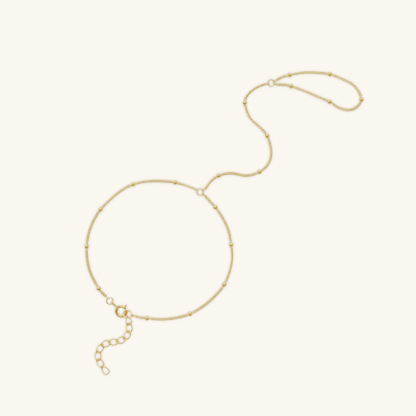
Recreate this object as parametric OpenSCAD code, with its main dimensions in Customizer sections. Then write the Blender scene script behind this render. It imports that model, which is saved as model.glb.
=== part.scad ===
// Hand chain bracelet, laid flat: a fine bead chain round the wrist, one along the back of the
// hand and a loop for one finger, joined by jump rings and closed by a spring ring clasp.

/* [Chain] */
// Width of the fine curb chain
chain_w = 1; // [0.7:0.05:1.3]
// Wire of the small loop that ends each chain
loop_wire = 0.3; // [0.2:0.05:0.4]
// Wire that carries a chain through its beads
core_wire = 0.44; // [0.3:0.02:0.6]

/* [Beads] */
// Diameter of a bead
bead_d = 1.8; // [1.4:0.1:2.2]

/* [Jump rings] */
// Outer diameter of a jump ring
ring_d = 3; // [2.6:0.1:3.6]
// Wire of a jump ring
ring_wire = 0.55; // [0.35:0.05:0.6]
// Outer diameter of the ring that the clasp closes on
end_ring_d = 3.8; // [3.4:0.05:4]
// Wire of the ring that the clasp closes on
end_ring_wire = 0.55; // [0.35:0.05:0.6]

/* [Clasp] */
// Outer diameter of the spring ring
clasp_d = 5; // [4.8:0.1:6]
// Diameter of the spring ring's tube
tube_d = 1.15; // [0.9:0.05:1.3]
// Wire of the sliding latch
latch_wire = 0.5; // [0.3:0.02:0.6]
// Diameter of the thumb knob
knob_d = 0.9; // [0.5:0.05:1]
// Length of the eye that is soldered to the tube
eye_l = 3.2; // [2.8:0.1:4]
// Height of the eye
eye_h = 1.9; // [1.7:0.1:2.2]
// Wire of the eye
eye_wire = 0.5; // [0.35:0.05:0.55]

/* [Extender] */
// Outer length of an extender link
link_l = 4.12; // [3.6:0.02:4.6]
// Outer width of an extender link
link_w = 2.7; // [2.4:0.05:3.2]
// Wire of an extender link
link_wire = 0.5; // [0.3:0.02:0.6]

/* [Fit] */
// Gap between pieces that move on each other
clearance = 0.1; // [0.05:0.01:0.15]

/* [Hidden] */
gold = [0.85, 0.74, 0.47];
pale_gold = [0.9, 0.8, 0.55];

// Facets of the round shapes
ring_fn = 96;
wire_fn = 32;
bead_fn = 48;

// Route of each chain as rows of [x, y, bead], from one ring to the other. A 1 marks a bead.
left_route = [
    [-13.8, 13.7, 0], [-17.9, 14.9, 1], [-23, 15.4, 0], [-28.3, 15.3, 0], [-33.3, 14.2, 1],
    [-37.5, 12.1, 0], [-41.6, 8.8, 0], [-45.3, 5, 1], [-48, 0.7, 0], [-49.7, -3.8, 0],
    [-50.4, -8.6, 1], [-50.2, -13.7, 0], [-48.9, -18.6, 0], [-46, -24, 1], [-44.5, -25.8, 0]
];
right_route = [
    [-5.6, 8.4, 0], [-3.2, 5.8, 1], [-0.4, 1.7, 0], [1.7, -3.1, 0], [2.6, -8, 1],
    [3, -12.6, 0], [2.2, -17.2, 0], [0.1, -22.5, 1], [-3.1, -26.5, 0], [-7.4, -30.3, 0],
    [-12.5, -33.3, 1], [-17.4, -34.7, 0], [-22.8, -35.3, 0], [-28.3, -34.9, 1], [-30.9, -34.6, 0]
];
hand_route = [
    [-5, 15.2, 0], [-2, 17.4, 1], [2.7, 18.3, 0], [8.2, 17.4, 0], [13, 18.8, 1],
    [16.3, 21.8, 0], [17.3, 26.3, 0], [15.8, 32, 1], [13, 35.3, 0], [9.4, 38.8, 0],
    [7.6, 44.1, 1], [8.7, 47.1, 0], [11.7, 49.6, 0]
];
finger_route = [
    [21.1, 53.5, 0], [24.1, 54.3, 1], [28.8, 55.2, 0], [33.9, 55.2, 0], [38.8, 54.6, 1],
    [43.1, 53, 0], [47.3, 50.8, 0], [49.4, 48.2, 0], [50.4, 45.3, 1], [49.5, 43.4, 0],
    [47.5, 41.8, 0], [44.9, 41.5, 0], [41.7, 42.5, 0], [38.7, 44.5, 1], [34.1, 46.5, 0],
    [29.5, 48.5, 0], [24.6, 50.2, 1], [21.8, 50.8, 0]
];

// Middle of the wrist ring, of the finger ring and of the clasp
wrist_ring_at = [-8.8, 11.45];
finger_ring_at = [17.3, 51.4];
clasp_at = [-37.65, -32.35];

// Directions in degrees, counted from +X
eye_dir = 138;
knob_dir = 51;
end_ring_dir = -25;
gap_from = 3;
gap_to = 33;

// Heading of each extender link, from the end ring to the free end
link_heading = [-86, -90, -123, -157, -176, -159, -122, -88, -58, -52];

// Chain, loops and beads
chain_r = chain_w / 2;
bead_r = bead_d / 2;
bead_bore = core_wire + 2 * clearance;
shoulder = sqrt(pow(bead_r, 2) - pow(bead_bore / 2, 2)) + clearance;
shoulder_step = 0.05;
chain_sides = 8;
section_gap = 2.5;
end_r = 0.25;

// Clasp: the latch slides in the tube's bore, and its knob in a slot. The clasp rests on one
// side of its tube, tilted about the line through its eye.
clasp_r = (clasp_d - tube_d) / 2;
bore_d = latch_wire + 2 * clearance;
stem_d = 0.5;
knob_out = (clasp_d + knob_d) / 2 + clearance;
knob_travel = 55;
tip_cover = 10;
tail_cover = 20;
slot_w = stem_d + 2 * clearance;
slot_margin = asin(slot_w / 2 / clasp_r);
eye_roll = 20;
clasp_tilt = -18;
eye_seat = 0.05;
eye_bend = (eye_h - eye_wire) / 2;
eye_near = clasp_d / 2 - eye_seat;
eye_far = eye_near + eye_l - eye_wire;

// Rings, as [middle, centreline radius, wire, direction of the tilt axis, tilt]. The end ring
// leans through the clasp: under its latch on one side, over its tube on the other.
ring_r = (ring_d - ring_wire) / 2;
end_ring_r = (end_ring_d - end_ring_wire) / 2;
end_ring_tilt = -37;
end_ring_out = clasp_r + 0.6;
end_ring_lift = 0.15;
clasp_z = clasp_r * sin(-clasp_tilt) + tube_d / 2;
end_ring_z = clasp_z + end_ring_lift;
flat_z = loop_r(ring_wire) + loop_wire / 2;
eye_slack = 1.7 * clearance;
clasp_ring_out = eye_far - (eye_wire + ring_wire) / 2 - eye_slack + ring_r;
wrist_ring_place = [[wrist_ring_at.x, wrist_ring_at.y, flat_z], ring_r, ring_wire, 0, 0];
finger_ring_place = [[finger_ring_at.x, finger_ring_at.y, flat_z], ring_r, ring_wire, 0, 0];
clasp_ring_place = [from_clasp(clasp_ring_out, eye_dir, clasp_z), ring_r, ring_wire, 0, 0];
end_ring_place = [
    from_clasp(end_ring_out, end_ring_dir, end_ring_z), end_ring_r, end_ring_wire,
    end_ring_dir, end_ring_tilt
];

// Where each chain is held, as [ring, angle round it] at its start and at its end
left_ends = [[wrist_ring_place, 151], [clasp_ring_place, 130]];
right_ends = [[wrist_ring_place, -39], [end_ring_place, 12]];
hand_ends = [[wrist_ring_place, 31], [finger_ring_place, 190]];
finger_ends = [[finger_ring_place, 28], [finger_ring_place, -16]];
left_rows = chain_rows(left_ends, left_route);
right_rows = chain_rows(right_ends, right_route);
hand_rows = chain_rows(hand_ends, hand_route);
finger_rows = chain_rows(finger_ends, finger_route);

// Extender: flat curb links, each rolled one way at its start and the other way at its end
link_sides = 16;
wire_sides = 6;
link_power = 2.6;
link_roll = 50;
first_roll = 75;
end_flare = 0.22;
link_reach = link_l - link_wire;
link_slack = 2 * clearance;
link_pitch = link_reach - link_wire - link_slack;
link_count = len(link_heading);
middle_link = link_path(link_roll, -link_roll, 0);
end_link = link_path(link_roll, 0, end_flare);
link_z = max([for (p = concat(middle_link, end_link)) abs(p.z)]) + link_wire / 2;

// The first link hangs on the end ring and leans down to the others
hook_angle = -55;
hook_slack = 1.5 * clearance;
hook_at = ring_point(end_ring_place, hook_angle, end_ring_r);
hook_inset = (end_ring_wire + link_wire) / 2 + hook_slack;
hook_span = link_reach / 2 - hook_inset + link_pitch / 2;
hook_lean = asin((hook_at.z - link_z) / hook_span);

wrist_beads = concat(beads_of(left_rows), beads_of(right_rows));
hand_beads = beads_of(hand_rows);
finger_beads = beads_of(finger_rows);

function unit(v) = v / norm(v);
function smooth(t) = t * t * (3 - 2 * t);
function loop_r(wire) = wire / 2 + clearance + loop_wire / 2;
function heading(a) = [cos(a), sin(a), 0];

function from_clasp(out, dir, z) = [clasp_at.x, clasp_at.y, z] + out * heading(dir);

// A point at angle a and radius r of a ring that may be tilted
function ring_point(ring, a, r) =
    let (axis = ring[3], tilt = ring[4])
    ring[0] + r * cos(a) * heading(axis)
        + r * sin(a) * [-sin(axis) * cos(tilt), cos(axis) * cos(tilt), sin(tilt)];

// Rows of [x, y, z, bead] from ring to ring. The rings' middles before and after guide the ends.
function chain_rows(ends, route) =
    concat(
        [concat(ends[0][0][0], 0), concat(held_point(ends[0]), 0)],
        [for (p = route) [p.x, p.y, p[2] == 1 ? bead_r : chain_r, p[2]]],
        [concat(held_point(ends[1]), 0), concat(ends[1][0][0], 0)]
    );

// Where a chain's own wire begins: on the outer side of the loop that holds the ring
function held_point(end) =
    let (ring = end[0])
    ring_point(ring, end[1], ring[1] + loop_r(ring[2]));

function spline(a, b, c, d, t) =
    0.5 * (2 * b + (c - a) * t + (2 * a - 5 * b + 4 * c - d) * t * t
        + (3 * b - a - 3 * c + d) * t * t * t);

// The chain's middle line between rows k and k + 1. Its height eases from one to the other.
function chain_point(rows, k, t) =
    let (x = spline(rows[k - 1].x, rows[k].x, rows[k + 1].x, rows[k + 2].x, t))
    let (y = spline(rows[k - 1].y, rows[k].y, rows[k + 1].y, rows[k + 2].y, t))
    [x, y, rows[k].z + (rows[k + 1].z - rows[k].z) * smooth(t)];

function row_at(rows, k) = [rows[k].x, rows[k].y, rows[k].z];
function row_dir(rows, k) = unit([rows[k + 1].x - rows[k - 1].x, rows[k + 1].y - rows[k - 1].y, 0]);
function row_r(rows, k) = k == 1 || k == len(rows) - 2 ? end_r : chain_r;

// A chain's cross-sections as [middle, direction, radius]: a bead's row makes a thin neck
function row_sections(rows, k) =
    let (p = row_at(rows, k), d = row_dir(rows, k))
    rows[k][3] == 0
        ? [[p, d, row_r(rows, k)]]
        : [for (s = [[-shoulder - shoulder_step, chain_r], [-shoulder, core_wire / 2],
                     [shoulder, core_wire / 2], [shoulder + shoulder_step, chain_r]])
            [p + s[0] * d, d, s[1]]];

function between_sections(rows, k) =
    let (n = round(norm(row_at(rows, k + 1) - row_at(rows, k)) / section_gap))
    n < 2 ? [] : [for (i = [1 : n - 1])
        [chain_point(rows, k, i / n), chain_dir(rows, k, i / n), chain_r]];

function chain_dir(rows, k, t) =
    let (step = 0.02)
    unit(chain_point(rows, k, t + step) - chain_point(rows, k, t - step));

function chain_sections(rows) =
    let (last = len(rows) - 2)
    [for (k = [1 : last]) each concat(
        row_sections(rows, k), k < last ? between_sections(rows, k) : [])];

function beads_of(rows) =
    [for (k = [1 : len(rows) - 2]) if (rows[k][3] == 1) [row_at(rows, k), row_dir(rows, k)]];

// A link's closed centreline: a rounded oval, rolled about its length, wider at a flared end
function link_path(roll_from, roll_to, flare) =
    [for (i = [0 : link_sides - 1])
        let (a = 360 * i / link_sides)
        let (u = sign(cos(a)) * pow(abs(cos(a)), 2 / link_power))
        let (v = sign(sin(a)) * pow(abs(sin(a)), 2 / link_power) * (1 + flare * u))
        let (y = v * (link_w - link_wire) / 2)
        let (roll = roll_from + (roll_to - roll_from) * (u + 1) / 2)
        [u * link_reach / 2, y * cos(roll), y * sin(roll)]];

// A tube of n sides through the sections, as points and triangles; closed ones join end to start
function tube_points(sections, n) =
    [for (s = sections)
        let (side = unit(cross([0, 0, 1], s[1])))
        let (up = cross(s[1], side))
        for (j = [0 : n - 1])
            let (a = 360 * j / n)
            s[0] + s[2] * (cos(a) * side + sin(a) * up)];

function tube_walls(count, n, closed) =
    [for (i = [0 : count - (closed ? 1 : 2)]) for (j = [0 : n - 1])
        let (a = i * n + j, b = i * n + (j + 1) % n)
        let (next = (i + 1) % count * n)
        let (c = next + (j + 1) % n, d = next + j)
        each [[a, c, b], [a, d, c]]];

function tube_ends(count, n) =
    [[for (j = [0 : n - 1]) j], [for (j = [0 : n - 1]) count * n - 1 - j]];

module tube(sections, n) {
    polyhedron(
        tube_points(sections, n),
        concat(tube_walls(len(sections), n, false), tube_ends(len(sections), n))
    );
}

module closed_tube(path, wire, n) {
    count = len(path);
    sections = [for (i = [0 : count - 1])
        [path[i], unit(path[(i + 1) % count] - path[(i + count - 1) % count]), wire / 2]];
    polyhedron(tube_points(sections, n), tube_walls(count, n, true));
}

module torus(r, wire) {
    rotate_extrude($fn = ring_fn)
        translate([r, 0])
            circle(d = wire, $fn = wire_fn);
}

// Puts its children in a ring's own plane
module in_ring(ring) {
    translate(ring[0])
        rotate([ring[4], 0, ring[3]])
            children();
}

module jump_ring(ring) {
    color(gold)
        in_ring(ring)
            torus(ring[1], ring[2]);
}

// The small soldered loop that holds a chain's end on the ring's wire
module end_loop(ring, a) {
    in_ring(ring)
        rotate([0, 0, a])
            translate([ring[1], 0, 0])
                rotate([90, 0, 0])
                    torus(loop_r(ring[2]), loop_wire);
}

module chain(rows, ends) {
    color(gold)
        union() {
            tube(chain_sections(rows), chain_sides);
            for (end = ends)
                end_loop(end[0], end[1]);
        }
}

module wrist_chain_left() {
    chain(left_rows, left_ends);
}

module wrist_chain_right() {
    chain(right_rows, right_ends);
}

module hand_chain() {
    chain(hand_rows, hand_ends);
}

module finger_chain() {
    chain(finger_rows, finger_ends);
}

module bead(place) {
    color(pale_gold)
        translate(place[0])
            rotate([0, 90, atan2(place[1].y, place[1].x)])
                difference() {
                    sphere(d = bead_d, $fn = bead_fn);
                    cylinder(d = bead_bore, h = 2 * bead_d, center = true, $fn = wire_fn);
                }
}

// Puts its children in the clasp's own plane, which is tilted about the eye's direction
module in_clasp() {
    in_ring([from_clasp(0, 0, clasp_z), clasp_r, tube_d, eye_dir, clasp_tilt])
        rotate([0, 0, -eye_dir])
            children();
}

// Part of a ring round the clasp's middle, from one angle to another
module clasp_arc(from, to, d) {
    rotate([0, 0, from])
        rotate_extrude(angle = to - from, $fn = ring_fn)
            translate([clasp_r, 0])
                circle(d = d, $fn = wire_fn);
}

// The eye is a closed oval that stands nearly upright on the tube
module clasp_eye() {
    rotate([eye_roll - clasp_tilt, 0, 0])
        rotate([90, 0, 0]) {
            translate([eye_near + eye_bend, 0, 0])
                rotate([0, 0, 90])
                    half_bend();
            translate([eye_far - eye_bend, 0, 0])
                rotate([0, 0, -90])
                    half_bend();
            for (side = [-1, 1])
                translate([eye_near + eye_bend, side * eye_bend, 0])
                    rotate([0, 90, 0])
                        cylinder(d = eye_wire, h = eye_far - eye_near - 2 * eye_bend, $fn = wire_fn);
        }
}

module half_bend() {
    rotate_extrude(angle = 180, $fn = ring_fn)
        translate([eye_bend, 0])
            circle(d = eye_wire, $fn = wire_fn);
}

module knob_slot() {
    rotate([0, 0, knob_dir - slot_margin])
        rotate_extrude(angle = knob_travel + 2 * slot_margin, $fn = ring_fn)
            translate([clasp_r, -slot_w / 2])
                square([tube_d, slot_w]);
}

module clasp_body() {
    color(gold)
        in_clasp()
            difference() {
                union() {
                    clasp_arc(gap_to, 360 + gap_from, tube_d);
                    rotate([0, 0, eye_dir])
                        clasp_eye();
                }
                clasp_arc(0, 360, bore_d);
                knob_slot();
            }
}

module clasp_latch() {
    color(gold)
        in_clasp()
            union() {
                clasp_arc(gap_from - tip_cover, knob_dir + tail_cover, latch_wire);
                rotate([0, 0, knob_dir])
                    translate([clasp_r, 0, 0])
                        rotate([0, 90, 0])
                            cylinder(d = stem_d, h = knob_out - clasp_r, $fn = wire_fn);
                rotate([0, 0, knob_dir])
                    translate([knob_out, 0, 0])
                        sphere(d = knob_d, $fn = bead_fn);
            }
}

// Where link i starts, counted along the middle line that neighbouring links share
function link_start(i) =
    i == 1
        ? hook_at + hook_span * (cos(hook_lean) * heading(link_heading[0]) - [0, 0, sin(hook_lean)])
        : link_start(i - 1) + link_pitch * heading(link_heading[i - 1]);

module first_link() {
    translate(hook_at)
        rotate([0, hook_lean, link_heading[0]])
            translate([link_reach / 2 - hook_inset, 0, 0])
                closed_tube(link_path(first_roll, -link_roll, 0), link_wire, wire_sides);
}

module placed_link(i, path) {
    translate(link_start(i) + link_pitch / 2 * heading(link_heading[i]))
        rotate([0, 0, link_heading[i]])
            closed_tube(path, link_wire, wire_sides);
}

// The first link leans on the end ring, the last one widens to its free end
module extender_link(i) {
    color(gold)
        if (i == 0)
            first_link();
        else
            placed_link(i, i == link_count - 1 ? end_link : middle_link);
}

wrist_chain_left();
wrist_chain_right();
hand_chain();
finger_chain();
jump_ring(wrist_ring_place);  // wrist_ring
jump_ring(finger_ring_place);  // finger_ring
jump_ring(clasp_ring_place);  // clasp_ring
jump_ring(end_ring_place);  // end_ring
clasp_body();
clasp_latch();
for (i = [1 : len(wrist_beads)])
    bead(wrist_beads[i - 1]);
for (i = [1 : len(hand_beads)])
    bead(hand_beads[i - 1]);
for (i = [1 : len(finger_beads)])
    bead(finger_beads[i - 1]);
for (i = [1 : link_count])
    extender_link(i - 1);
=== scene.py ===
import math
import random

import bpy
import numpy as np
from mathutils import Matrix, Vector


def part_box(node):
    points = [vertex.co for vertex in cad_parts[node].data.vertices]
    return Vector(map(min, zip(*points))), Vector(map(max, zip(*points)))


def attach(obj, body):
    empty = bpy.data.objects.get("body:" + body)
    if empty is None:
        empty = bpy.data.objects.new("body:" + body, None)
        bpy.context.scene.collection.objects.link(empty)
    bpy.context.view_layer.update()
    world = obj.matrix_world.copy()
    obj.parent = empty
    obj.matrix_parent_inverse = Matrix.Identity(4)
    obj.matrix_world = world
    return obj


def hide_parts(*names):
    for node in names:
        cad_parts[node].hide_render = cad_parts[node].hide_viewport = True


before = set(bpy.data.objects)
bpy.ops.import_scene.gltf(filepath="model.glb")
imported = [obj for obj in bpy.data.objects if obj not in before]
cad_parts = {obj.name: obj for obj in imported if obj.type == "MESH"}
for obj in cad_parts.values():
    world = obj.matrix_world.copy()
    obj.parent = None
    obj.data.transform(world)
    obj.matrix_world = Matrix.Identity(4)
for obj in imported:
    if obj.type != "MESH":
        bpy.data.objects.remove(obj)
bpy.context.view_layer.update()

MM = 0.001
UP = np.array([0.0, 0.0, 1.0])
SIDEWAYS = np.array([1.0, 0.0, 0.0])
STEEP = 0.9

# Photograph's frame: the point that the camera looks at, the width that it takes in, and its lens
VIEW_MIDDLE = (-0.00589, 0.00554)
VIEW_WIDTH = 0.1527
SENSOR_WIDTH = 36.0
LENS = 150.0

# Fine curb link: one wire, bent to a rounded oval and rolled about its length. A power of 2 is an
# ellipse, and more is squarer. The slack is what two links have between them. Each link's roll
# strays by a few degrees from its route's.
CHAIN_WIDTH = 1.25 * MM
CHAIN_WIRE = 0.35 * MM
CHAIN_PITCH = 0.93 * MM
SHORT_PITCH = 0.6 * MM
CHAIN_SLACK = 0.03 * MM
CHAIN_ROLL = 56
CHAIN_POWER = 2.6
CHAIN_STEPS = 30
CHAIN_SIDES = 10
ROLL_JITTER = 3.0

# What holds the chains: the beads, with a wire through each, and small loops round the rings. The
# shoulder is how far from a bead's middle the links end, and the rise is the stretch in which a
# chain comes up from the table to what holds it.
BEAD_R = 0.9 * MM
BEAD_SHOULDER = 0.941 * MM
CORE_WIRE = 0.44 * MM
CORE_STEPS = 7
CORE_SIDES = 16
LOOP_WIRE = 0.3 * MM
LOOP_INNER = 0.475 * MM
LOOP_OUTER = 0.84 * MM
LOOP_HALF_HEIGHT = 0.475 * MM
LOOP_STEPS = 40
LOOP_SIDES = 12
RISE = 3.5 * MM

# Extender link, with the same sizes as in the CAD. The wire that is shown is a little thicker,
# because the pale table takes width from a thin wire, and the links lie higher by half of that.
LINK_REACH = 3.62 * MM
LINK_WIDTH = 2.2 * MM
LINK_WIRE = 0.5 * MM
LINK_WIRE_SHOWN = 0.53 * MM
LINK_PITCH = 2.92 * MM
LINK_POWER = 2.6
LINK_STEPS = 64
LINK_SIDES = 16

# Rings as (centreline radius, wire, direction of the tilt axis, tilt), in metres and degrees
RINGS = {
    "wrist_ring": (1.225 * MM, 0.55 * MM, 0, 0),
    "finger_ring": (1.225 * MM, 0.55 * MM, 0, 0),
    "clasp_ring": (1.225 * MM, 0.55 * MM, 0, 0),
    "end_ring": (1.625 * MM, 0.55 * MM, -25, -37),
}

# Routes as rows of (x, y, bead, roll of the chain in degrees), with the ring and the angle round
# it where each begins and ends, and the steps from one row to the next
ROUTE_STEPS = 60
STRANDS = {
    "wrist_chain_left": (
        ("wrist_ring", 151), ("clasp_ring", 130),
        [
            (-0.0138, 0.0137, 0, -75), (-0.0179, 0.0149, 1, -50), (-0.0230, 0.0154, 0, -15),
            (-0.0283, 0.0153, 0, 45), (-0.0333, 0.0142, 1, 50), (-0.0375, 0.0121, 0, 40),
            (-0.0416, 0.0088, 0, 48), (-0.0453, 0.0050, 1, 40), (-0.0480, 0.0007, 0, 30),
            (-0.0497, -0.0038, 0, 25), (-0.0504, -0.0086, 1, 12), (-0.0502, -0.0137, 0, 0),
            (-0.0489, -0.0186, 0, 5), (-0.0460, -0.0240, 1, 15), (-0.0445, -0.0258, 0, 10),
        ],
    ),
    "wrist_chain_right": (
        ("wrist_ring", -39), ("end_ring", 12),
        [
            (-0.0056, 0.0084, 0, -45), (-0.0032, 0.0058, 1, -40), (-0.0004, 0.0017, 0, -30),
            (0.0017, -0.0031, 0, -25), (0.0026, -0.0080, 1, -42), (0.0030, -0.0126, 0, -60),
            (0.0022, -0.0172, 0, -52), (0.0001, -0.0225, 1, -30), (-0.0031, -0.0265, 0, -15),
            (-0.0074, -0.0303, 0, 10), (-0.0125, -0.0333, 1, 22), (-0.0174, -0.0347, 0, 30),
            (-0.0228, -0.0353, 0, 30), (-0.0283, -0.0349, 1, 42), (-0.0309, -0.0346, 0, 40),
        ],
    ),
    "hand_chain": (
        ("wrist_ring", 31), ("finger_ring", 190),
        [
            (-0.0050, 0.0152, 0, -57), (-0.0020, 0.0174, 1, -32), (0.0027, 0.0183, 0, -15),
            (0.0082, 0.0174, 0, 15), (0.0130, 0.0188, 1, 18), (0.0163, 0.0218, 0, 38),
            (0.0173, 0.0263, 0, 35), (0.0158, 0.0320, 1, 20), (0.0130, 0.0353, 0, 48),
            (0.0094, 0.0388, 0, 56), (0.0076, 0.0441, 1, 50), (0.0087, 0.0471, 0, 54),
            (0.0117, 0.0496, 0, 60),
        ],
    ),
    "finger_chain": (
        ("finger_ring", 28), ("finger_ring", -16),
        [
            (0.0211, 0.0535, 0, -45), (0.0241, 0.0543, 1, -56), (0.0288, 0.0552, 0, -49),
            (0.0339, 0.0552, 0, -37), (0.0388, 0.0546, 1, -42), (0.0431, 0.0530, 0, -50),
            (0.0473, 0.0508, 0, -43), (0.0494, 0.0482, 0, -30), (0.0504, 0.0453, 1, -10),
            (0.0495, 0.0434, 0, 0), (0.0475, 0.0418, 0, 3), (0.0449, 0.0415, 0, 10),
            (0.0417, 0.0425, 0, 35), (0.0387, 0.0445, 1, 38), (0.0341, 0.0465, 0, 45),
            (0.0295, 0.0485, 0, 55), (0.0246, 0.0502, 1, 40), (0.0218, 0.0508, 0, 30),
        ],
    ),
}

# Heading of each extender link, from the end ring to the free end. A link is rolled by the middle
# roll at both ends, one way and the other, but the first one's hooked end has a roll of its own,
# and the last one's free end lies flat and is wider. The hook's angle is counted round the end
# ring, and its slack is what the first link keeps from that ring's wire.
LINK_HEADINGS = (-86, -90, -123, -157, -176, -159, -122, -88, -58, -52)
MIDDLE_ROLL = 50
FIRST_ROLL = 75
END_FLARE = 0.22
HOOK_ANGLE = -55
HOOK_SLACK = 0.15 * MM
LINK_Z = 0.822 * MM

# Table in metres. Its middle lies behind the object, so that no edge between two of its triangles
# runs under the metal. Light on it comes from straight above, it glows into the metal, and close
# to the metal it is shaded.
TABLE_SIZE = 40.0
TABLE_BEHIND = 5.0
TABLE_TONE = (0.955, 0.83, 0.49)
TABLE_LIGHT = 31
TABLE_LIGHT_SPREAD = 50
TABLE_GLOW = 1.8
SHADE_TONE = (0.15, 0.115, 0.02)
SHADE_REACH = 1.1 * MM
SHADE_DEPTH = 1.7

# Painted shade: recesses of the metal turn this darker tone, over this span of how open they are
RECESS_SHADE_REACH = 0.4 * MM
RECESS_SHADE_SPAN = (0.15, 0.6)
RECESS_SHADE_TONE = (0.60, 0.42, 0.06)

# Grain of the gold: the scale and detail of each noise, and the span of it that counts
TONE_NOISE = (420.0, 3.0)
TONE_SPAN = (0.38, 0.62)
WEAR_NOISE = (2600.0, 5.0)
WEAR_SPAN = (0.35, 0.7)
SCRATCH_NOISE = (14000.0, 2.0)
SCRATCH_HEIGHT = 0.01 * MM

# How many rays look for what is near a point, on the table and on the metal
SHADE_RAYS = 16
RECESS_SHADE_RAYS = 8

# Edges sharper than these angles stay sharp, on the wires made here and on the CAD's own nodes
WIRE_SHARP = 50
NODE_SHARP = 40

# A colour mix has its two colours on these inputs, and gives the mix on this output
MIX_FIRST = 6
MIX_SECOND = 7
MIX_RESULT = 2

# Studio: the dome's tone and light, and soft boxes as (direction, angle of the bright middle,
# angle where it ends, light)
DOME_TONE = (1.0, 0.95, 0.85)
DOME_LIGHT = 0.42
SOFT_BOXES = (
    ((-0.10, 0.80, 0.60), 12, 42, 6.0),
    ((0.00, 0.15, 1.00), 4, 28, 0.9),
    ((-0.85, 0.10, 0.50), 5, 24, 2.4),
    ((0.85, 0.00, 0.50), 5, 20, 1.8),
    ((0.15, -0.85, 0.50), 3, 14, 0.9),
)


def unit(v):
    return v / np.linalg.norm(v)


def heading(degrees):
    a = math.radians(degrees)
    return np.array([math.cos(a), math.sin(a), 0.0])


def smooth(t):
    t = min(1.0, max(0.0, t))
    return t * t * (3 - 2 * t)


def middle_of(node):
    low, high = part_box(node)
    return (np.array(low) + np.array(high)) / 2


# Middle, radial direction and normal of a ring's wire at an angle round the ring
def ring_frame(name, degrees):
    radius, _, axis, tilt = RINGS[name]
    across = heading(axis)
    t = math.radians(tilt)
    along = heading(axis + 90) * math.cos(t) + UP * math.sin(t)
    a = math.radians(degrees)
    out = math.cos(a) * across + math.sin(a) * along
    return middle_of(name) + radius * out, out, np.cross(across, along)


# Closed centreline of a link about its own middle, lying along X
def link_path(reach, width, rolls, steps, power, flare=0.0):
    points = []
    for i in range(steps):
        a = 2 * math.pi * i / steps
        c, s = math.cos(a), math.sin(a)
        u = math.copysign(abs(c) ** (2 / power), c)
        v = math.copysign(abs(s) ** (2 / power), s) * (1 + flare * u)
        roll = math.radians(rolls[0] + (rolls[1] - rolls[0]) * (u + 1) / 2)
        y = v * width / 2
        points.append([u * reach / 2, y * math.cos(roll), y * math.sin(roll)])
    return np.array(points)


# Two directions across a path at each of its points, square to each other. A path that starts
# steeply takes its first one from a level line.
def across_path(path, closed):
    if closed:
        tangents = np.roll(path, -1, axis=0) - np.roll(path, 1, axis=0)
    else:
        tangents = np.gradient(path, axis=0)
    tangents /= np.linalg.norm(tangents, axis=1)[:, None]
    steep = abs(tangents[0][2]) >= STEEP
    normal = unit(np.cross(tangents[0], SIDEWAYS if steep else UP))
    normals = [normal]
    for tangent in tangents[1:]:
        normal = unit(normal - tangent * (normal @ tangent))
        normals.append(normal)
    normals = np.array(normals)
    if closed:
        normals = untwisted(normals, tangents)
    return normals, np.cross(tangents, normals)


# Faces of a wire of so many rings of vertices. An open wire gets flat ends.
def wire_faces(count, sides, closed):
    faces = []
    for i in range(count if closed else count - 1):
        n = (i + 1) % count
        for j in range(sides):
            k = (j + 1) % sides
            faces.append((i * sides + j, n * sides + j, n * sides + k, i * sides + k))
    if not closed:
        faces.append(tuple(range(sides)))
        faces.append(tuple((count - 1) * sides + j for j in reversed(range(sides))))
    return faces


# Round wire along a path, as vertices and faces
def wire_mesh(path, diameter, sides, closed=True):
    normals, others = across_path(path, closed)
    turns = 2 * math.pi * np.arange(sides) / sides
    rings = (
        path[:, None, :]
        + diameter / 2 * np.cos(turns)[None, :, None] * normals[:, None, :]
        + diameter / 2 * np.sin(turns)[None, :, None] * others[:, None, :]
    )
    return rings.reshape(-1, 3), wire_faces(len(path), sides, closed)


# Spreads the twist that a closed wire gathers on its way round, so that its ends meet
def untwisted(normals, tangents):
    last = unit(normals[-1] - tangents[0] * (normals[-1] @ tangents[0]))
    gathered = math.atan2(np.cross(normals[0], last) @ tangents[0], normals[0] @ last)
    out = []
    for i, (n, t) in enumerate(zip(normals, tangents)):
        a = -gathered * i / (len(normals) - 1)
        out.append(math.cos(a) * n + math.sin(a) * np.cross(t, n))
    return np.array(out)


def shade_smooth(mesh, sharp_from):
    mesh.polygons.foreach_set("use_smooth", [True] * len(mesh.polygons))
    mesh.set_sharp_from_angle(angle=math.radians(sharp_from))


# One object from many meshes of vertices and faces
def joined(name, parts, material):
    vertices = []
    faces = []
    for points, polygons in parts:
        start = len(vertices)
        vertices.extend(points.tolist())
        faces.extend(tuple(start + i for i in polygon) for polygon in polygons)
    mesh = bpy.data.meshes.new(name)
    mesh.from_pydata(vertices, [], faces)
    mesh.validate()
    shade_smooth(mesh, WIRE_SHARP)
    mesh.materials.append(material)
    obj = bpy.data.objects.new(name, mesh)
    bpy.context.scene.collection.objects.link(obj)
    return obj


# A link's points, moved to lie from a start to an end and rolled about that line
def placed(points, start, end, roll):
    x = unit(end - start)
    side = unit(np.cross(UP, x))
    up = np.cross(x, side)
    r = math.radians(roll)
    y = math.cos(r) * side + math.sin(r) * up
    z = np.cross(x, y)
    return (start + end) / 2 + points @ np.array([x, y, z])


# Point at a share t of the way from b to c, on a smooth curve through a, b, c and d
def spline(a, b, c, d, t):
    return 0.5 * (
        2 * b + (c - a) * t + (2 * a - 5 * b + 4 * c - d) * t**2
        + (3 * b - a - 3 * c + d) * t**3
    )


# Height of a flat-lying chain's middle line at a roll, so that its links just clear the table
def resting_height(roll):
    reach = CHAIN_PITCH + CHAIN_WIRE + CHAIN_SLACK
    rolls = (CHAIN_ROLL, -CHAIN_ROLL)
    path = link_path(reach, CHAIN_WIDTH - CHAIN_WIRE, rolls, 2 * CHAIN_STEPS, CHAIN_POWER)
    lowest = 0.0
    for turn in (roll - ROLL_JITTER, roll, roll + ROLL_JITTER):
        r = math.radians(turn)
        drops = np.abs(path[:, 1] * math.sin(r) + path[:, 2] * math.cos(r))
        lowest = max(lowest, float(drops.max()))
    return lowest + CHAIN_WIRE / 2 + CHAIN_SLACK


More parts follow.
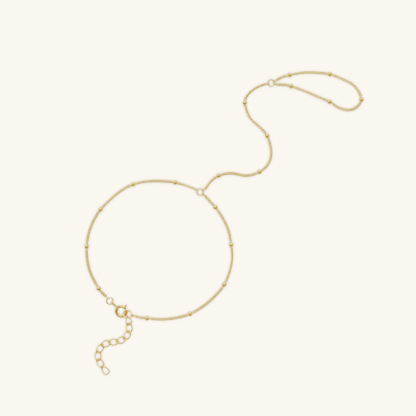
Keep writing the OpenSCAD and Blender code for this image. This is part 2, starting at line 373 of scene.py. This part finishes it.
# Smooth flat curve with its rolls. Its first and last points only steer the ends.
def smooth_curve(flat, rolls):
    points = []
    turned = []
    for k in range(1, len(flat) - 2):
        for i in range(ROUTE_STEPS):
            t = i / ROUTE_STEPS
            points.append(spline(*flat[k - 1 : k + 3], t))
            turned.append(rolls[k] + (rolls[k + 1] - rolls[k]) * smooth(t))
    points.append(flat[-2])
    turned.append(rolls[-2])
    return np.array(points), turned


# Distance of each point from the first one, along the points
def distances(points):
    steps = np.linalg.norm(np.diff(points, axis=0), axis=1)
    return np.concatenate([[0.0], np.cumsum(steps)])


# Where a chain hangs in the loop that it has on a ring
def hanging_point(held):
    middle, out, _ = held
    return middle + LOOP_OUTER * out


# Height of a route at a distance s: on the table, or near what holds it, risen towards that
def route_height(s, roll, held):
    free = resting_height(roll)
    place, lifted = min(held, key=lambda h: abs(h[0] - s))
    share = smooth(1 - abs(place - s) / RISE)
    return free + (lifted - free) * share


class Route:
    """A strand's middle line, with its rolls, its beads and its two held ends."""

    def __init__(self, start, end, rows):
        self.start = ring_frame(*start)
        self.end = ring_frame(*end)
        first = hanging_point(self.start)
        last = hanging_point(self.end)
        flat = [middle_of(start[0])[:2], first[:2]]
        flat += [np.array(row[:2]) for row in rows]
        flat += [last[:2], middle_of(end[0])[:2]]
        rolls = [rows[0][3]] * 2 + [row[3] for row in rows] + [rows[-1][3]] * 2
        points, self.rolls = smooth_curve(flat, rolls)
        marks = [(i + 1) * ROUTE_STEPS for i, row in enumerate(rows) if row[2]]
        along = distances(points)
        held = [(0.0, first[2])]
        held += [(along[mark], BEAD_R) for mark in marks]
        held += [(along[-1], last[2])]
        heights = [route_height(s, roll, held) for s, roll in zip(along, self.rolls)]
        self.points = np.column_stack([points, heights])
        self.along = distances(self.points)
        self.beads = [self.along[mark] for mark in marks]

    def at(self, s):
        return np.array([np.interp(s, self.along, self.points[:, i]) for i in range(3)])

    def roll_at(self, s):
        return float(np.interp(s, self.along, self.rolls))


# Curb links that fill a stretch of a route. The first and the last one end flat. beads has a 1 for
# each end of the stretch that lies next to a bead, and that end gets a short link.
def links_between(route, first, last, beads, chance):
    room = last - first - CHAIN_WIRE - CHAIN_SLACK - SHORT_PITCH * sum(beads)
    count = max(1, round(room / CHAIN_PITCH))
    pitches = [SHORT_PITCH] * beads[0] + [room / count] * count + [SHORT_PITCH] * beads[1]
    parts = []
    start = first
    for i, pitch in enumerate(pitches):
        reach = pitch + CHAIN_WIRE + CHAIN_SLACK
        roll = route.roll_at(start + reach / 2) + chance.uniform(-ROLL_JITTER, ROLL_JITTER)
        at_first = -roll if i == 0 else CHAIN_ROLL
        at_last = -roll if i == len(pitches) - 1 else -CHAIN_ROLL
        rolls = (at_first, at_last)
        path = link_path(reach, CHAIN_WIDTH - CHAIN_WIRE, rolls, CHAIN_STEPS, CHAIN_POWER)
        points, faces = wire_mesh(path, CHAIN_WIRE, CHAIN_SIDES)
        parts.append((placed(points, route.at(start), route.at(start + reach), roll), faces))
        start += pitch
    return parts


# Upright oval loop round a ring's wire, longer on the outer side, where the chain hangs in it
def end_loop(held):
    middle, out, normal = held
    path = []
    for i in range(LOOP_STEPS):
        a = 2 * math.pi * i / LOOP_STEPS
        reach = LOOP_OUTER if math.cos(a) > 0 else LOOP_INNER
        path.append(middle + reach * math.cos(a) * out + LOOP_HALF_HEIGHT * math.sin(a) * normal)
    return wire_mesh(np.array(path), LOOP_WIRE, LOOP_SIDES)


# Straight wire through a bead, soldered to the last links on both sides
def core(route, s):
    reach = BEAD_SHOULDER + CHAIN_WIRE / 2
    middle = route.at(s)
    along = unit(route.at(s + reach) - route.at(s - reach))
    path = np.array([middle + t * along for t in np.linspace(-reach, reach, CORE_STEPS)])
    return wire_mesh(path, CORE_WIRE, CORE_SIDES, closed=False)


def build_strand(node, material):
    start, end, rows = STRANDS[node]
    route = Route(start, end, rows)
    chance = random.Random(node)
    parts = [end_loop(route.start), end_loop(route.end)]
    inside = (LOOP_WIRE + CHAIN_WIRE) / 2 + CHAIN_SLACK
    first = -inside
    from_bead = 0
    for s in route.beads:
        last = s - BEAD_SHOULDER - CHAIN_WIRE / 2
        parts += links_between(route, first, last, (from_bead, 1), chance)
        parts.append(core(route, s))
        first = s + BEAD_SHOULDER + CHAIN_WIRE / 2
        from_bead = 1
    parts += links_between(route, first, route.along[-1] + inside, (1, 0), chance)
    piece = joined(node + "_links", parts, material)
    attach(piece, "bracelet")
    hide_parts(node)


# Start, end, rolls and flare of each extender link. The first one hangs on the end ring and leans
# down to the others.
def extender_places():
    hook = ring_frame("end_ring", HOOK_ANGLE)[0]
    inset = (RINGS["end_ring"][1] + LINK_WIRE) / 2 + HOOK_SLACK
    span = LINK_REACH / 2 - inset + LINK_PITCH / 2
    lean = math.asin((hook[2] - LINK_Z) / span)
    along = math.cos(lean) * heading(LINK_HEADINGS[0]) - math.sin(lean) * UP
    rolls = (FIRST_ROLL, -MIDDLE_ROLL)
    places = [(hook - inset * along, hook + (LINK_REACH - inset) * along, rolls, 0.0)]
    start = hook + span * along
    for i, degrees in enumerate(LINK_HEADINGS[1:], 1):
        middle = start + LINK_PITCH / 2 * heading(degrees)
        half = LINK_REACH / 2 * heading(degrees)
        last = i == len(LINK_HEADINGS) - 1
        rolls = (MIDDLE_ROLL, 0) if last else (MIDDLE_ROLL, -MIDDLE_ROLL)
        places.append((middle - half, middle + half, rolls, END_FLARE if last else 0.0))
        start = start + LINK_PITCH * heading(degrees)
    return places


def build_extender(material):
    for i, (start, end, rolls, flare) in enumerate(extender_places(), 1):
        path = link_path(LINK_REACH, LINK_WIDTH, rolls, LINK_STEPS, LINK_POWER, flare)
        points, faces = wire_mesh(path, LINK_WIRE_SHOWN, LINK_SIDES)
        piece = joined(f"extender_curb_link_{i}", [(placed(points, start, end, 0), faces)], material)
        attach(piece, "bracelet")
        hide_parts(f"extender_link_{i}")


# Connects two sockets, so that a material reads from top to bottom
def connect(tree, source, output, target, socket):
    tree.links.new(source.outputs[output], target.inputs[socket])


def add_node(tree, kind, values):
    node = tree.nodes.new(kind)
    for socket, value in values.items():
        node.inputs[socket].default_value = value
    return node


def noise(tree, place, scale, detail):
    made = add_node(tree, "ShaderNodeTexNoise", {"Scale": scale, "Detail": detail})
    connect(tree, place, "Object", made, "Vector")
    return made


def ramp(tree, source, low, high, span):
    made = tree.nodes.new("ShaderNodeValToRGB")
    for stop, colour, position in zip(made.color_ramp.elements, (low, high), span):
        stop.position = position
        stop.color = (*colour, 1.0)
    connect(tree, source, "Fac", made, "Fac")
    return made


# Values of one span turned into values of another
def map_range(tree, source, output, span, new_span):
    ends = {"From Min": span[0], "From Max": span[1], "To Min": new_span[0], "To Max": new_span[1]}
    made = add_node(tree, "ShaderNodeMapRange", ends)
    connect(tree, source, output, made, "Value")
    return made


# Mix of two colours, each a fixed one or a node's output
def colour_mix(tree, share, output, first, second):
    made = tree.nodes.new("ShaderNodeMix")
    made.data_type = "RGBA"
    connect(tree, share, output, made, "Factor")
    for socket, colour in ((MIX_FIRST, first), (MIX_SECOND, second)):
        if isinstance(colour, tuple):
            made.inputs[socket].default_value = (*colour, 1.0)
        else:
            tree.links.new(colour, made.inputs[socket])
    return made.outputs[MIX_RESULT]


# How open a point is, from 0 in a deep recess to 1
def openness(tree, reach, rays):
    made = add_node(tree, "ShaderNodeAmbientOcclusion", {"Distance": reach})
    made.samples = rays
    return made


# Drifts between a deep and a pale tone, with painted shade, darker in the recesses
def gold_tone_and_recess_shade(tree, place, pale, deep):
    tone = ramp(tree, noise(tree, place, *TONE_NOISE), deep, pale, TONE_SPAN)
    open_to = openness(tree, RECESS_SHADE_REACH, RECESS_SHADE_RAYS)
    share = map_range(tree, open_to, "AO", RECESS_SHADE_SPAN, (1.0, 0.0))
    return colour_mix(tree, share, "Result", tone.outputs["Color"], RECESS_SHADE_TONE)


# Polished gold with a slight drift of colour, painted shade in its recesses, fine wear in its gloss
# and hairline scratches
def gold(name, pale, deep, gloss, wear, scratch_depth):
    material = bpy.data.materials.new(name)
    material.use_nodes = True
    tree = material.node_tree
    shader = tree.nodes["Principled BSDF"]
    shader.inputs["Metallic"].default_value = 1.0
    place = tree.nodes.new("ShaderNodeTexCoord")
    tree.links.new(gold_tone_and_recess_shade(tree, place, pale, deep), shader.inputs["Base Color"])
    worn = noise(tree, place, *WEAR_NOISE)
    rough = map_range(tree, worn, "Fac", WEAR_SPAN, (gloss, gloss + wear))
    connect(tree, rough, "Result", shader, "Roughness")
    bump = add_node(tree, "ShaderNodeBump", {"Strength": scratch_depth, "Distance": SCRATCH_HEIGHT})
    connect(tree, noise(tree, place, *SCRATCH_NOISE), "Fac", bump, "Height")
    connect(tree, bump, "Normal", shader, "Normal")
    return material


def chain_gold():
    return gold("chain_gold", (0.98, 0.82, 0.17), (0.95, 0.77, 0.13), 0.15, 0.10, 0.25)


def ring_gold():
    return gold("ring_gold", (0.95, 0.75, 0.15), (0.91, 0.69, 0.11), 0.12, 0.08, 0.20)


def clasp_gold():
    return gold("clasp_gold", (0.95, 0.72, 0.07), (0.90, 0.65, 0.05), 0.12, 0.08, 0.25)


def bead_gold():
    return gold("bead_gold", (0.95, 0.71, 0.09), (0.91, 0.65, 0.06), 0.12, 0.08, 0.25)


def link_gold():
    return gold("link_gold", (0.95, 0.73, 0.07), (0.90, 0.66, 0.05), 0.12, 0.08, 0.25)


def dress_node(name, material):
    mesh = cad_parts[name].data
    shade_smooth(mesh, NODE_SHARP)
    mesh.materials.clear()
    mesh.materials.append(material)


# Pale and matt, and darker close to the metal. What the metal mirrors of it is an even glow, so that
# neither the light from above nor the shade shows in the metal.
def table_material():
    material = bpy.data.materials.new("table")
    material.use_nodes = True
    tree = material.node_tree
    shader = tree.nodes["Principled BSDF"]
    shader.inputs["Roughness"].default_value = 1.0
    shader.inputs["Specular IOR Level"].default_value = 0.0
    shader.inputs["Emission Color"].default_value = (*TABLE_TONE, 1.0)
    depth = add_node(tree, "ShaderNodeMath", {1: SHADE_DEPTH})
    depth.operation = "POWER"
    connect(tree, openness(tree, SHADE_REACH, SHADE_RAYS), "AO", depth, 0)
    tone = colour_mix(tree, depth, 0, SHADE_TONE, TABLE_TONE)
    seen = tree.nodes.new("ShaderNodeLightPath")
    lit = colour_mix(tree, seen, "Is Camera Ray", (0.0, 0.0, 0.0), tone)
    tree.links.new(lit, shader.inputs["Base Color"])
    glow = map_range(tree, seen, "Is Camera Ray", (0.0, 1.0), (TABLE_GLOW, 0.0))
    connect(tree, glow, "Result", shader, "Emission Strength")
    return material


# Table top, lit from straight above, so that each shadow hides under its piece
def build_table():
    half = TABLE_SIZE / 2
    near_side = TABLE_BEHIND - half
    far_side = TABLE_BEHIND + half
    corners = [(-half, near_side, 0), (half, near_side, 0), (half, far_side, 0), (-half, far_side, 0)]
    mesh = bpy.data.meshes.new("table")
    mesh.from_pydata(corners, [], [(0, 1, 2, 3)])
    mesh.materials.append(table_material())
    table = bpy.data.objects.new("table", mesh)
    bpy.context.scene.collection.objects.link(table)


# Broad light from straight above, for the table only
def build_table_light():
    data = bpy.data.lights.new("table_light", "SUN")
    data.energy = TABLE_LIGHT
    data.angle = math.radians(TABLE_LIGHT_SPREAD)
    light = bpy.data.objects.new("table_light", data)
    light.visible_glossy = False
    bpy.context.scene.collection.objects.link(light)


# Soft studio: a dim dome with round soft boxes on it, each bright in its middle and fading outwards
def build_studio():
    world = bpy.data.worlds.new("studio")
    bpy.context.scene.world = world
    world.use_nodes = True
    tree = world.node_tree
    background = tree.nodes["Background"]
    background.inputs["Color"].default_value = (*DOME_TONE, 1.0)
    place = tree.nodes.new("ShaderNodeTexCoord")
    total = None
    for direction, bright_to, fades_to, strength in SOFT_BOXES:
        aim = add_node(tree, "ShaderNodeVectorMath", {1: unit(np.array(direction))})
        aim.operation = "DOT_PRODUCT"
        connect(tree, place, "Generated", aim, 0)
        span = (math.cos(math.radians(fades_to)), math.cos(math.radians(bright_to)))
        lobe = map_range(tree, aim, "Value", span, (0.0, strength))
        lobe.interpolation_type = "SMOOTHSTEP"
        added = add_node(tree, "ShaderNodeMath", {0: DOME_LIGHT})
        if total:
            connect(tree, total, 0, added, 0)
        connect(tree, lobe, "Result", added, 1)
        total = added
    connect(tree, total, 0, background, "Strength")


def build_camera():
    data = bpy.data.cameras.new("camera")
    data.lens = LENS
    data.sensor_width = SENSOR_WIDTH
    camera = bpy.data.objects.new("camera", data)
    camera.location = (*VIEW_MIDDLE, VIEW_WIDTH * LENS / SENSOR_WIDTH)
    bpy.context.scene.collection.objects.link(camera)
    bpy.context.scene.camera = camera


def main():
    build_camera()
    build_studio()
    build_table()
    build_table_light()
    fine = chain_gold()
    for name in STRANDS:
        build_strand(name, fine)
    build_extender(link_gold())
    rings = ring_gold()
    for name in RINGS:
        dress_node(name, rings)
    clasp = clasp_gold()
    for name in ("clasp_body", "clasp_latch"):
        dress_node(name, clasp)
    beads = bead_gold()
    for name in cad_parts:
        if "_bead_" in name:
            dress_node(name, beads)


main()
